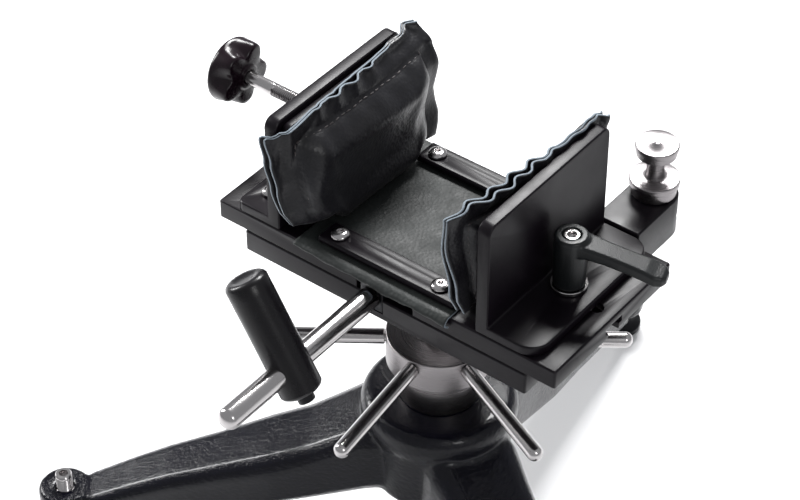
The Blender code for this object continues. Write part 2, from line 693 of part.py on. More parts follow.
def star_knob(group):
    """Round at its domed outer face, with five lobes that deepen towards the screw."""
    count = KNOB_LOBES * 9
    turns = [2 * math.pi * k / count for k in range(count)]

    def row(depth, share, cut=0.0):
        radii = [share * (KNOB_R - cut * ((1 - math.cos(KNOB_LOBES * a)) / 2) ** 1.5) for a in turns]
        return [bm.verts.new((r * math.cos(a), r * math.sin(a), depth)) for a, r in zip(turns, radii)]

    bm = bmesh.new()
    bore = (JAW_SCREW_R + GAP) / KNOB_R
    rings = [[bm.verts.new((0, 0, -3.0))], row(-2.6, 0.5), row(-0.9, 0.88), row(0.8, 1.0),
             row(3.0, 1.0, 0.8), row(KNOB_T - 1.4, 1.0, KNOB_CUT), row(KNOB_T, 0.92, KNOB_CUT),
             row(KNOB_T, 0.42), row(KNOB_T + 1.6, 0.38), row(KNOB_T + 1.6, bore), row(8.7, bore),
             [bm.verts.new((0, 0, 8.7))]]
    for low, high in zip(rings, rings[1:]):
        for i in range(count):
            j = (i + 1) % count
            corners = [low[i % len(low)], low[j % len(low)], high[j % len(high)], high[i % len(high)]]
            bm.faces.new([v for k, v in enumerate(corners) if v not in corners[:k]])
    group.add("star_knob", point_along(bm, "+X", (KNOB_X, 0, JAW_SCREW_Z)), "black_plastic")


def right_bracket(group):
    upright("right_bracket", group, RIGHT_OUTER, RIGHT_OUTER - UPRIGHT_T, RIGHT_FOOT, 12.0,
            [(STUD_X, 0, STUD_R + GAP)])
    top = PLATE_TOP + GAP + FOOT_T
    washer = ring(STUD_R + GAP, WASHER_R, top + GAP, top + GAP + WASHER_T, 0.2, 28, at=(STUD_X, 0, 0))
    group.add("clamp_washer", washer, "stainless")
    nut = rounded((STUD_X - 8, STUD_X + 8), (-GROOVE_HALF + GAP, GROOVE_HALF - GAP), (1.0,) * 4, 2)
    item = group.add("clamp_t_nut", prism(nut, NECK_TOP + GAP, GROOVE_TOP - GAP), "black_steel",
                     smooth=False)
    group.cut(item, rod(STUD_R + GAP, PLATE_BOTTOM - 2, PLATE_TOP, segments=16, at=(STUD_X, 0, 0)))


def clamp_stud(group):
    shoulder = LEVER_POCKET - 5.0
    profile = [(0, PLATE_BOTTOM + 0.6), (STUD_R, PLATE_BOTTOM + 0.6), (STUD_R, LEVER_BOTTOM + 1),
               (4.2, LEVER_BOTTOM + 1), (4.2, shoulder), (2.9, shoulder), (2.9, SCREW_SEAT - 5),
               (0, SCREW_SEAT - 5)]
    group.add("clamp_stud", turned(profile, 24, at=(STUD_X, 0, 0)), "black_steel")
    head = cap_screw(2.4, 4.6, 3.2, -4.6, 0, 16)
    group.add("lever_screw", point_along(head, "+Z", (STUD_X, 0, SCREW_SEAT)), "stainless")


def lever_arm(group):
    """A die-cast hub with a flat tapering arm that starts at the hub's top."""
    profile = [(0, LEVER_BOTTOM), (8.6, LEVER_BOTTOM), (9.0, LEVER_BOTTOM + 0.5),
               (9.4, LEVER_TOP - 8), (9.4, LEVER_TOP - 1), (8.4, LEVER_TOP), (0, LEVER_TOP)]
    hub = turned(profile, 32, at=(STUD_X, 0, 0))
    item = group.add("clamp_lever", hub, "black_plastic")
    bm = bmesh.new()
    sections = []
    tip = LEVER_REACH
    reach = ((2.0, 8.2, -1.2, -10.0), (10.0, 7.2, -2.6, -10.3), (20.0, 6.6, -4.5, -11.8),
             (31.0, 6.5, -6.8, -14.0), (42.0, 7.0, -9.1, -16.4), (tip - 6.0, 7.4, -10.6, -17.8),
             (tip - 2.0, 6.0, -11.5, -18.0), (tip, 3.4, -12.8, -17.0))
    for along, half, top, bottom in reach:
        outline = ((-half, bottom + 1.2), (-half + 1.2, bottom), (half - 1.2, bottom),
                   (half, bottom + 1.2), (half, top - 1.2), (half - 1.2, top), (-half + 1.2, top),
                   (-half, top - 1.2))
        sections.append([bm.verts.new((along, y, LEVER_TOP + z)) for y, z in outline])
    for near, far in zip(sections, sections[1:]):
        for i in range(len(near)):
            j = (i + 1) % len(near)
            bm.faces.new((near[i], near[j], far[j], far[i]))
    bm.faces.new(sections[0])
    bm.faces.new(sections[-1][::-1])
    spin(bm, LEVER_ANGLE)
    bmesh.ops.translate(bm, verts=bm.verts, vec=(STUD_X, 0, 0))
    group.join(item, bm)
    group.cut(item, rod(5.2, LEVER_POCKET, LEVER_TOP + 2, segments=20, at=(STUD_X, 0, 0)),
              rod(4.5, LEVER_BOTTOM - 2, LEVER_POCKET - 4.6, segments=20, at=(STUD_X, 0, 0)),
              rod(3.3, LEVER_BOTTOM, LEVER_POCKET + 2, segments=20, at=(STUD_X, 0, 0)))


# ---------------------------------------------------------------- bag, bars and stop post

def ear(name, group, back, front, rear, overhang):
    """A padded leaf of the bag on its jaw. Its ends pass over the clamp bars' screws.

    back is the x of its flat back; front and rear are the x of its inner face at foot and top,
    before the padding's belly.
    """
    low_mid, low_end, high = PLATE_TOP + 1.8, PLATE_TOP + 10.2, PLATE_TOP + 78.0
    between = (BAR_Y["front"] + BAR_HALF + 1.0, BAR_Y["rear"] - BAR_HALF - 1.0)
    inward = 1 if back < 0 else -1
    ends = (-EAR_HALF_Y, -46.0, between[0] - 0.5, between[0], -14.0, 14.0, between[1], between[1] + 0.5,
            48.0, EAR_HALF_Y)
    bm = bmesh.new()
    rows = []
    for y in ends:
        share = (y + EAR_HALF_Y) / (2 * EAR_HALF_Y)
        foot, top = (a + (b - a) * share for a, b in zip(front, rear))
        low = low_mid if between[0] <= y <= between[1] else low_end
        full = EAR_BELLY * (1 - (2 * share - 1) ** 4)
        face = []
        for z in (low, PLATE_TOP + 22, PLATE_TOP + 40, PLATE_TOP + 60, PLATE_TOP + 72, high):
            rise = (z - low_mid) / (high - low_mid)
            belly = full * math.sin(math.pi * rise) ** 0.6 if 0.01 < rise < 0.99 else 0.0
            face.append((foot + (top - foot) * rise + inward * belly, z))
        points = ((back, low), *face, (back + overhang, high), (back + overhang, EAR_SHOULDER),
                  (back, EAR_SHOULDER))
        rows.append([bm.verts.new((x, y, z)) for x, z in points])
    for near, far in zip(rows, rows[1:]):
        for i in range(len(near)):
            j = (i + 1) % len(near)
            bm.faces.new((near[i], near[j], far[j], far[i]))
    bm.faces.new(rows[0])
    bm.faces.new(rows[-1][::-1])
    group.add(name, bm, "black_leather", smooth=False)


def bag_floor(group):
    """Leather between the ears, with a lip over the plate's front and back edges and a double middle."""
    top = PLATE_TOP + GAP + LEATHER_T
    edge = HALF_Y + GAP
    out = edge + LEATHER_T
    low = PLATE_TOP - LIP_DROP
    outline = ((-out, low), (-edge, low), (-edge, PLATE_TOP + GAP), (edge, PLATE_TOP + GAP),
               (edge, low), (out, low), (out, top), (-out, top))
    item = group.add("bag_floor", prism(outline, *BAG_X, normal="X"), "black_leather",
                     smooth=False)
    group.join(item, box(PAD_X, PAD_Y, (top - 0.5, top + PAD_T)))
    for x in BAR_SCREWS:
        for y in BAR_Y.values():
            group.cut(item, rod(2.5 + GAP, PLATE_TOP - 2, top + 2, segments=12, at=(x, y, 0)))


def clamp_bars(group):
    for name, y in BAR_Y.items():
        outline = rounded(BAR_X, (y - BAR_HALF, y + BAR_HALF), (1.5,) * 4, 3)
        item = group.add(f"clamp_bar_{name}", prism(outline, BAR_BOTTOM, BAR_TOP), "black_anodised",
                         smooth=False)
        bevel(item, 1.0)
        for i, x in enumerate(BAR_SCREWS):
            group.cut(item, rod(2.5 + GAP, BAR_BOTTOM - 2, BAR_TOP + 2, segments=16, at=(x, y, 0)))
            screw = cap_screw(2.5, 5.4, 2.7, -12.5, GAP, 16, dome=True)
            group.add(f"bar_screw_{name}_{i + 1}", point_along(screw, "+Z", (x, y, BAR_TOP)),
                      "stainless")


def stop_block(group):
    radius = (BLOCK_X[1] - BLOCK_X[0]) / 2
    outline = [(BLOCK_X[0], HALF_Y + GAP), (BLOCK_X[1], HALF_Y + GAP)]
    outline += arc((POST_X, POST_Y), radius, 0, 180, 14)
    item = group.add("stop_block", prism(outline, *BLOCK_Z), "black_anodised", smooth=False)
    bevel(item, 0.8)
    group.cut(item, rod(3.0 + GAP, BLOCK_Z[1] - 14, BLOCK_Z[1] + 2, segments=16,
                        at=(POST_X, POST_Y, 0)))
    for i, x in enumerate(BLOCK_SCREWS_X):
        at = (x, 0, BLOCK_SCREWS_Z)
        group.cut(item, rod(2.3 + GAP, HALF_Y - 2, 120, segments=12, axis="Y", at=at),
                  rod(4.4, 76, 120, segments=16, axis="Y", at=at))
        screw = cap_screw(2.3, 4.0, 4.4, -32.0, 0, 20)
        group.add(f"stop_block_screw_{i + 1}",
                  point_along(screw, "+Y", (x, 76 + GAP, BLOCK_SCREWS_Z)), "black_steel")


def stop_post(group):
    z = BLOCK_Z[1] + GAP
    profile = [(0, z - 12.5), (3.0, z - 12.5), (3.0, z), (12.0, z), (12.6, z + 0.6), (12.6, z + 6.4),
               (13.7, z + 6.6), (14.1, z + 7.0), (14.1, z + 10.2), (13.7, z + 10.6), (5.2, z + 10.6),
               (4.9, z + 11.0), (4.9, z + 25.8), (10.6, z + 26.0), (11.2, z + 26.6),
               (11.2, z + 30.0), (11.7, z + 30.2), (12.1, z + 30.6), (12.1, z + 33.2),
               (11.7, z + 33.6), (0, z + 33.6)]
    group.add("stop_post", turned(profile, 32, at=(POST_X, POST_Y, 0)), "turned_aluminium")


# ---------------------------------------------------------------- the object

def build():
    clear_scene()
    materials = make_materials()
    root = empty("column_axis", (AXIS_X, AXIS_Y, 0))
    pivots = {}

    def group(name, at=(0, 0, 0)):
        pivots[name] = empty(f"pivot_{name}", at, root)
        return Group(pivots[name], at, materials)

    base = group("base")
    base_casting(base)
    column_guides(base)
    for name, degrees in LEG_ANGLES.items():
        levelling_foot(name, degrees, root, materials)
    lift = group("column")
    column(lift)
    slide_bed(lift)
    shaft_bearings(lift)
    capstan(group("capstan", (0, 0, SPOKE_Z)))
    traverse_shaft(group("traverse_shaft", (SHAFT_X, 0, SHAFT_Z)))
    carriage = group("carriage", (0, 0, PLATE_BOTTOM))
    carriage_plate(carriage)
    traverse_rack(carriage)
    left_bracket(carriage)
    bag_floor(carriage)
    clamp_bars(carriage)
    stop_block(carriage)
    stop_post(group("stop_post", (POST_X, POST_Y, BLOCK_Z[1])))
    right = group("right_jaw", (RIGHT_OUTER, 0, PLATE_TOP))
    right_bracket(right)
    ear("right_ear", right, RIGHT_OUTER - UPRIGHT_T - GAP, (47.0, 44.0), (48.0, 55.0), 3.0)
    lever = group("clamp_stud", (STUD_X, 0, LEVER_BOTTOM))
    clamp_stud(lever)
    lever_arm(group("clamp_lever", (STUD_X, 0, LEVER_BOTTOM)))
    left = group("left_jaw", (LEFT_OUTER, 0, JAW_SCREW_Z))
    pressure_plate(left)
    back = LEFT_OUTER + UPRIGHT_T + GAP + PRESS_T + GAP
    ear("left_ear", left, back, (-50.0, -61.0), (-47.0, -56.0), -6.5)
    knob = group("knob", (KNOB_X, 0, JAW_SCREW_Z))
    jaw_screw(knob)
    star_knob(knob)


build()
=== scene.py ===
"""Looks of the bench-top cradle rest: castings, turned metal, moulded grips and the leather bag.

Lengths are in millimetres in the column's frame: x and y from the lifting column's axis, z from the
floor. MM turns them into the frame's metres.
"""
import json
import math

import bmesh
import bpy
from mathutils import Matrix, Vector


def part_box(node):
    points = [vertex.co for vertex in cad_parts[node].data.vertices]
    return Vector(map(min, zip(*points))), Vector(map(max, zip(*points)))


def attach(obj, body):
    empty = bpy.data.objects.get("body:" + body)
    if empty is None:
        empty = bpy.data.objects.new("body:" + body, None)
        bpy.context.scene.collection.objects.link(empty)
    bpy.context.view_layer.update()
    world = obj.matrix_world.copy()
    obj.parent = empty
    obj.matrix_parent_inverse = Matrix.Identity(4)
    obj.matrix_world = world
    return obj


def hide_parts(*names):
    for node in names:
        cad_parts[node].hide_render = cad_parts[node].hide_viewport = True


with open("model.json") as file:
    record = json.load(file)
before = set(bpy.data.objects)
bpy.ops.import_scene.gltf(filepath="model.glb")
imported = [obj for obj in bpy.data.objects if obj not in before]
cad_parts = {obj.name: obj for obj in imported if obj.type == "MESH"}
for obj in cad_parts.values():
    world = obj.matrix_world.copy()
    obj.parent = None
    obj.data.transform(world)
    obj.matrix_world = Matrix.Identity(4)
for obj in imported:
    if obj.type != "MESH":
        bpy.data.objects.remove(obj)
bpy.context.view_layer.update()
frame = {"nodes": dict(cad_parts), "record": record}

MM = 0.001
TAU = 2 * math.pi


def node_box(node):
    """A CAD node's corners in millimetres, in the column's frame."""
    low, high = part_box(node)
    return (low - ORIGIN) / MM, (high - ORIGIN) / MM


def middle(node):
    low, high = node_box(node)
    return (low + high) / 2


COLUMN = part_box("lift_column")
ORIGIN = Vector(((COLUMN[0].x + COLUMN[1].x) / 2, (COLUMN[0].y + COLUMN[1].y) / 2, 0))
PLATE_LOW, PLATE_HIGH = node_box("carriage_plate")
TOP = PLATE_HIGH.z
FRONT = PLATE_LOW.y


# ---------------------------------------------------------------- materials

class Shader:
    """A Principled material and the few texture nodes that the finishes share."""

    def __init__(self, name, colour, metallic=0.0, roughness=0.4, **sockets):
        self.material = bpy.data.materials.new(name)
        self.material.use_nodes = True
        self.nodes = self.material.node_tree.nodes
        self.links = self.material.node_tree.links
        self.bsdf = self.nodes["Principled BSDF"]
        self.bsdf.inputs["Base Color"].default_value = (*colour, 1)
        self.bsdf.inputs["Metallic"].default_value = metallic
        self.bsdf.inputs["Roughness"].default_value = roughness
        for socket, value in sockets.items():
            self.bsdf.inputs[socket.replace("_", " ")].default_value = value
        self.coords = self.nodes.new("ShaderNodeTexCoord").outputs["Object"]
        self.normal = None

    def scaled(self, scale):
        mapping = self.nodes.new("ShaderNodeMapping")
        mapping.inputs["Scale"].default_value = scale
        self.links.new(self.coords, mapping.inputs["Vector"])
        return mapping.outputs["Vector"]

    def noise(self, scale, detail=3.0, roughness=0.5, stretch=(1, 1, 1), distortion=0.0):
        node = self.nodes.new("ShaderNodeTexNoise")
        node.inputs["Scale"].default_value = scale
        node.inputs["Detail"].default_value = detail
        node.inputs["Roughness"].default_value = roughness
        node.inputs["Distortion"].default_value = distortion
        self.links.new(self.scaled(stretch), node.inputs["Vector"])
        return node.outputs["Fac"]

    def cells(self, scale, feature="F1", stretch=(1, 1, 1)):
        node = self.nodes.new("ShaderNodeTexVoronoi")
        node.feature = feature
        node.inputs["Scale"].default_value = scale
        self.links.new(self.scaled(stretch), node.inputs["Vector"])
        return node.outputs["Distance"]

    def ranged(self, value, low, high, to_low=0.0, to_high=1.0):
        node = self.nodes.new("ShaderNodeMapRange")
        for socket, number in zip(("From Min", "From Max", "To Min", "To Max"),
                                  (low, high, to_low, to_high)):
            node.inputs[socket].default_value = number
        self.links.new(value, node.inputs["Value"])
        return node.outputs["Result"]

    def blend(self, factor, first, second):
        node = self.nodes.new("ShaderNodeMix")
        node.data_type = "RGBA"
        node.inputs["A"].default_value = (*first, 1)
        node.inputs["B"].default_value = (*second, 1)
        self.links.new(factor, node.inputs["Factor"])
        return node.outputs["Result"]

    def bump(self, height, distance, strength=1.0):
        node = self.nodes.new("ShaderNodeBump")
        node.inputs["Distance"].default_value = distance
        node.inputs["Strength"].default_value = strength
        self.links.new(height, node.inputs["Height"])
        if self.normal:
            self.links.new(self.normal, node.inputs["Normal"])
        self.normal = node.outputs["Normal"]
        self.links.new(self.normal, self.bsdf.inputs["Normal"])

    def feed(self, socket, value):
        self.links.new(value, self.bsdf.inputs[socket])

    def radial_tangent(self):
        node = self.nodes.new("ShaderNodeTangent")
        node.direction_type = "RADIAL"
        node.axis = "Z"
        self.links.new(node.outputs["Tangent"], self.bsdf.inputs["Tangent"])

    def rings(self, per_metre):
        """Fine lathe lines: bands by the distance from the piece's own axis."""
        split = self.nodes.new("ShaderNodeSeparateXYZ")
        self.links.new(self.coords, split.inputs["Vector"])
        flat = self.nodes.new("ShaderNodeCombineXYZ")
        self.links.new(split.outputs["X"], flat.inputs["X"])
        self.links.new(split.outputs["Y"], flat.inputs["Y"])
        length = self.nodes.new("ShaderNodeVectorMath")
        length.operation = "LENGTH"
        self.links.new(flat.outputs["Vector"], length.inputs[0])
        total = self.nodes.new("ShaderNodeMath")
        total.operation = "ADD"
        self.links.new(length.outputs["Value"], total.inputs[0])
        self.links.new(split.outputs["Z"], total.inputs[1])
        bands = self.nodes.new("ShaderNodeTexNoise")
        bands.noise_dimensions = "1D"
        bands.inputs["Scale"].default_value = per_metre
        bands.inputs["Detail"].default_value = 4.0
        self.links.new(total.outputs["Value"], bands.inputs["W"])
        return bands.outputs["Fac"]


def cast_paint():
    """Thick gloss enamel over rough iron: the casting's pits show through and break up highlights."""
    s = Shader("cast_paint", (0.002, 0.002, 0.004), roughness=0.12, Coat_Weight=0.2,
               Coat_Roughness=0.05, Specular_IOR_Level=0.20)
    s.feed("Base Color", s.blend(s.noise(60, 3), (0.0010, 0.0010, 0.0030), (0.0026, 0.0026, 0.0068)))
    s.feed("Roughness", s.ranged(s.noise(240, 2), 0.3, 0.7, 0.10, 0.26))
    s.bump(s.noise(45, 2), 0.0016, 0.5)
    s.bump(s.noise(430, 4, 0.62), 0.0007, 0.75)
    return s.material


def anodised(name="black_anodise", colour=(0.0032, 0.0020, 0.0036), roughness=0.34):
    """Satin anodised plate: faint mill lines, light handling marks."""
    s = Shader(name, colour, metallic=0.0, roughness=roughness, Specular_IOR_Level=0.20)
    lighter = tuple(c * 1.8 for c in colour)
    s.feed("Base Color", s.blend(s.noise(38, 4, 0.6), colour, lighter))
    marks = s.noise(26, 5, 0.7)
    s.feed("Roughness", s.ranged(marks, 0.3, 0.75, roughness - 0.05, roughness + 0.10))
    s.bump(s.noise(900, 2, stretch=(0.06, 1.0, 1.0)), 0.00005, 0.35)
    s.bump(s.noise(1800, 2), 0.00004, 0.4)
    return s.material


def polished_bar():
    """Centreless-ground stainless bar with faint round-the-bar lines."""
    s = Shader("ground_stainless", (0.54, 0.52, 0.52), metallic=1.0, roughness=0.17, Anisotropic=0.35)
    s.radial_tangent()
    s.feed("Roughness", s.ranged(s.noise(30, 4, 0.6), 0.3, 0.75, 0.13, 0.25))
    s.bump(s.noise(700, 3, stretch=(0.4, 0.4, 6.0)), 0.00003, 0.4)
    return s.material


def turned_aluminium():
    s = Shader("turned_aluminium", (0.30, 0.285, 0.29), metallic=1.0, roughness=0.30, Anisotropic=0.8)
    s.radial_tangent()
    lines = s.rings(3200)
    s.feed("Roughness", s.ranged(lines, 0.3, 0.7, 0.24, 0.38))
    s.feed("Base Color", s.blend(s.noise(22, 3), (0.25, 0.235, 0.24), (0.34, 0.32, 0.325)))
    s.bump(lines, 0.00003, 0.3)
    return s.material


def black_oxide():
    s = Shader("black_oxide", (0.020, 0.020, 0.022), metallic=0.85, roughness=0.36)
    s.feed("Roughness", s.ranged(s.noise(300, 3), 0.3, 0.7, 0.28, 0.46))
    s.bump(s.noise(1400, 2), 0.00005, 0.4)
    return s.material


def bearing_bronze():
    s = Shader("bearing_bronze", (0.40, 0.26, 0.11), metallic=1.0, roughness=0.33)
    s.feed("Base Color", s.blend(s.noise(80, 4), (0.30, 0.18, 0.08), (0.46, 0.31, 0.14)))
    s.bump(s.noise(900, 2, stretch=(1, 0.1, 1)), 0.00005, 0.4)
    return s.material


def moulded_plastic(name, colour, roughness, grain):
    """Spark-eroded mould texture, rubbed a little smoother in patches by hands."""
    s = Shader(name, colour, roughness=roughness, Specular_IOR_Level=0.30)
    s.feed("Roughness", s.ranged(s.noise(45, 4), 0.3, 0.7, roughness - 0.07, roughness + 0.07))
    s.feed("Base Color", s.blend(s.noise(60, 3), colour, tuple(c * 1.6 for c in colour)))
    s.bump(s.cells(1300), 0.00012, grain)
    return s.material


def leather(name, dark, light, roughness, grain=0.45, crease=0.22, shine=0.42):
    """Finished hide: pebble grain in two sizes, creases, and a dye that thins on the high spots."""
    s = Shader(name, dark, roughness=roughness, Specular_IOR_Level=shine, Sheen_Weight=0.04,
               Sheen_Roughness=0.5)
    s.feed("Base Color", s.blend(s.ranged(s.noise(34, 5, 0.6), 0.32, 0.72), dark, light))
    s.feed("Roughness", s.ranged(s.noise(70, 4, 0.6), 0.3, 0.72, roughness - 0.06, roughness + 0.12))
    s.bump(s.noise(30, 3, 0.5, distortion=0.4), 0.0010, crease)
    s.bump(s.cells(520), 0.00028, grain)
    s.bump(s.cells(1250, "DISTANCE_TO_EDGE"), 0.00012, grain * 0.6)
    return s.material


def raw_edge():
    """The hide's cut edge: pale blue-grey fibres."""
    s = Shader("raw_hide_edge", (0.12, 0.15, 0.18), roughness=0.62, Sheen_Weight=0.2)
    s.feed("Base Color", s.blend(s.noise(420, 4, 0.7), (0.07, 0.09, 0.11), (0.24, 0.29, 0.34)))
    s.bump(s.noise(1500, 3), 0.0002, 0.6)
    return s.material


def thread_cord():
    s = Shader("waxed_thread", (0.035, 0.028, 0.030), roughness=0.5, Sheen_Weight=0.15)
    s.feed("Base Color", s.blend(s.noise(900, 2), (0.02, 0.016, 0.018), (0.07, 0.055, 0.055)))
    s.bump(s.noise(2600, 2, stretch=(1, 1, 0.3)), 0.0001, 0.5)
    return s.material


def floor_card():
    s = Shader("pale_floor", (0.90, 0.90, 0.91), roughness=0.75)
    s.feed("Base Color", s.blend(s.noise(2.0, 3), (0.89, 0.89, 0.90), (0.92, 0.92, 0.925)))
    return s.material


PAINT = cast_paint()
ANODISE = anodised()
BAR = polished_bar()
TURNED = turned_aluminium()
OXIDE = black_oxide()
BRONZE = bearing_bronze()
GRIP = moulded_plastic("grip_plastic", (0.0045, 0.0040, 0.0050), 0.27, 0.25)
KNOB_PLASTIC = moulded_plastic("knob_plastic", (0.0060, 0.0022, 0.0045), 0.27, 0.15)
LEVER_FINISH = moulded_plastic("lever_powder_coat", (0.0060, 0.0068, 0.0074), 0.36, 0.5)
HIDE = leather("bag_hide", (0.0036, 0.0030, 0.0046), (0.0100, 0.0098, 0.0132), 0.36, crease=0.14)
FLOOR_HIDE = leather("floor_hide", (0.0120, 0.0142, 0.0136), (0.022, 0.026, 0.025), 0.52, 0.5, 0.08, 0.32)
EDGE = raw_edge()
THREAD = thread_cord()

NODE_FINISH = {
    "bronze": BRONZE, "turned_aluminium": TURNED, "stainless": BAR, "black_steel": OXIDE,
    "black_anodised": ANODISE, "black_plastic": GRIP, "black_leather": HIDE,
    "cast_iron_paint": PAINT,
}
NODE_SLOT = {entry["node"]: entry["material_slot"] for entry in frame["record"]["subparts"]}


# ---------------------------------------------------------------- mesh helpers

def piece(name, bm, material, body, replaces=(), at=(0, 0, 0), turn=None, sharp=32.0):
    """Makes an object from a mesh in millimetres, sets it in place and gives it to a CAD body."""
    bmesh.ops.recalc_face_normals(bm, faces=bm.faces)
    bmesh.ops.scale(bm, verts=bm.verts, vec=(MM, MM, MM))
    mesh = bpy.data.meshes.new(name)
    bm.to_mesh(mesh)
    bm.free()
    mesh.shade_smooth()
    if sharp:
        mesh.set_sharp_from_angle(angle=math.radians(sharp))
    item = bpy.data.objects.new(name, mesh)
    bpy.context.scene.collection.objects.link(item)
    mesh.materials.append(material)
    item.matrix_world = Matrix.Translation(Vector(at) * MM + ORIGIN) @ (turn or Matrix()).to_4x4()
    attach(item, body)
    if replaces:
        nodes = [replaces] if isinstance(replaces, str) else list(replaces)
        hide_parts(*nodes)
    return item


def lathe(rows, segments=96):
    """A closed solid from (radius, height) rows. A radius may be a function of the angle."""
    bm = bmesh.new()
    rings = []
    for radius, height in rows:
        if not callable(radius) and radius < 1e-6:
            rings.append([bm.verts.new((0, 0, height))])
            continue
        ring = []
        for i in range(segments):
            a = TAU * i / segments
            r = radius(a) if callable(radius) else radius
            ring.append(bm.verts.new((r * math.cos(a), r * math.sin(a), height)))
        rings.append(ring)
    pairs = list(zip(rings, rings[1:]))
    if len(rings[0]) > 1 and len(rings[-1]) > 1:
        pairs.append((rings[-1], rings[0]))
    for low, high in pairs:
        for i in range(segments):
            j = (i + 1) % segments
            quad = [low[i % len(low)], low[j % len(low)], high[j % len(high)], high[i % len(high)]]
            bm.faces.new([v for k, v in enumerate(quad) if v not in quad[:k]])
    return bm


def hexagon(across):
    """A radius function for a hexagon, by its size across flats."""
    def radius(a):
        return across / 2 / math.cos((a + math.pi / 6) % (math.pi / 3) - math.pi / 6)
    return radius


def rounded_edge(radius, height, r, outward=1, up=1, steps=5):
    """Rows that round a lathe profile's outer corner, from the side to the end face."""
    rows = []
    for k in range(steps + 1):
        a = math.pi / 2 * k / steps
        rows.append((radius - outward * r * (1 - math.cos(a)), height - up * r * (1 - math.sin(a))))
    return rows


def thread_rows(radius, low, high, pitch, depth, per_pitch=7):
    """Rows of a 60 degree screw thread between two heights, fading in at each end."""
    rows = []
    count = max(2, round((high - low) / pitch * per_pitch))

    def at(height):
        def r(a):
            phase = (height / pitch - a / TAU) % 1.0
            cut = 1 - abs(2 * phase - 1)
            fade = min(1.0, (height - low) / pitch, (high - height) / pitch)
            return radius - depth * max(0.0, fade) * cut
        return r
    for k in range(count + 1):
        height = low + (high - low) * k / count
        rows.append((at(height), height))
    return rows


def pointing(direction):
    return Vector((0, 0, 1)).rotation_difference(Vector(direction).normalized()).to_matrix()


def dome_rows(radius, end, flatten, steps=10):
    """Rows of a domed end, from its side to its tip."""
    rows = []
    for k in range(steps):
        a = math.pi / 2 * k / steps
        rows.append((radius * math.cos(a), end - flatten + flatten * math.sin(a)))
    return rows + [(0, end)]


def cap_head(radius, height, across, socket, dome=0.0):
    """A socket screw's head on z = 0, with a real hexagon socket."""
    rows = [(0, 0), (radius - 0.25, 0), (radius, 0.25)]
    if dome:
        for k in range(9):
            a = math.pi / 2 * k / 8
            face = across * 0.62
            rows.append((face + (radius - face) * math.cos(a), 0.5 + (height - 0.5) * math.sin(a)))
    else:
        rows += rounded_edge(radius, height, 0.5)
    lip = across / 2 + 0.30
    rows += [(lip + 0.25, height), (hexagon(2 * lip), height - 0.02)]
    rows += [(hexagon(across), height - 0.25), (hexagon(across), height - socket)]
    rows += [(across * 0.25, height - socket - 0.5), (0, height - socket - 0.6)]
    return rows


# ---------------------------------------------------------------- base

def smoothed_copy(node, name, material, body, voxel, rounds):
    """A cast version of a CAD solid: remeshed finely, with its edges and joins rounded."""
    source = frame["nodes"][node]
    item = bpy.data.objects.new(name, source.data.copy())
    bpy.context.scene.collection.objects.link(item)
    item.data.materials.clear()
    item.data.materials.append(material)
    weld = item.modifiers.new("weld", "WELD")
    weld.merge_threshold = 1e-5
    remesh = item.modifiers.new("remesh", "REMESH")
    remesh.mode = "VOXEL"
    remesh.voxel_size = voxel * MM
    smooth = item.modifiers.new("smooth", "SMOOTH")
    smooth.factor = 0.5
    smooth.iterations = rounds
    bake(item)
    item.data.shade_smooth()
    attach(item, body)
    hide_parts(node)
    return item


def bake(item):
    """Applies an object's modifiers."""
    graph = bpy.context.evaluated_depsgraph_get()
    mesh = bpy.data.meshes.new_from_object(item.evaluated_get(graph))
    item.modifiers.clear()
    item.data = mesh


def base():
    smoothed_copy("base_casting", "casting", PAINT, "base", 1.5, 5)
    low, high = node_box("thrust_collar")
    r, bore = (high.x - low.x) / 2, 10.3
    rows = [(bore, low.z), (r - 0.6, low.z), *rounded_edge(r, low.z, 0.6, up=-1)[::-1],
            (r, high.z - 6.0), (r - 0.25, high.z - 5.8), (r - 0.25, high.z - 5.2), (r, high.z - 5.0),
            *rounded_edge(r, high.z, 0.7), (bore, high.z)]
    piece("collar", lathe(rows, 128), TURNED, "base", "thrust_collar")
    low, high = node_box("thrust_washer")
    r = (high.x - low.x) / 2
    rows = [(bore, low.z), (r - 0.2, low.z), (r, low.z + 0.2), (r, high.z - 0.2), (r - 0.2, high.z),
            (bore, high.z)]
    piece("washer_ring", lathe(rows, 128), BAR, "base", "thrust_washer")


def feet():
    for name in ("left", "front", "back"):
        low, high = node_box(f"foot_pad_{name}")
        x, y, r, z = (low.x + high.x) / 2, (low.y + high.y) / 2, (high.x - low.x) / 2, high.z
        rows = [(0, 0), (r - 1.2, 0), *rounded_edge(r, 0, 1.2, up=-1)[::-1], *rounded_edge(r, 4.6, 1.0),
                (r - 4.2, 6.6), (r - 6.2, 8.6), (8.2, z - 0.8), *rounded_edge(8.0, z, 0.5), (6.2, z),
                (6.0, z - 0.3), (6.0, 5.1), (0, 5.1)]
        piece(f"pad_{name}", lathe(rows, 72), OXIDE, f"foot_{name}", f"foot_pad_{name}", (x, y, 0))
        low, high = node_box(f"levelling_screw_{name}")
        top = high.z
        rows = [(0, low.z), (2.5, low.z), (4.0, low.z + 0.9), (4.6, low.z + 2.1), (4.6, low.z + 3.9),
                (3.4, 11.5), (4.3, 12.6)]
        rows += thread_rows(5.0, 13.0, top - 0.8, 1.5, 0.75)
        rows += [(4.4, top), (hexagon(5.2), top), (hexagon(5.0), top - 0.2), (hexagon(5.0), top - 3.4),
                 (0, top - 3.6)]
        piece(f"foot_screw_{name}", lathe(rows, 48), BAR, f"foot_screw_{name}",
              f"levelling_screw_{name}", (x, y, 0))


# ---------------------------------------------------------------- column and capstan

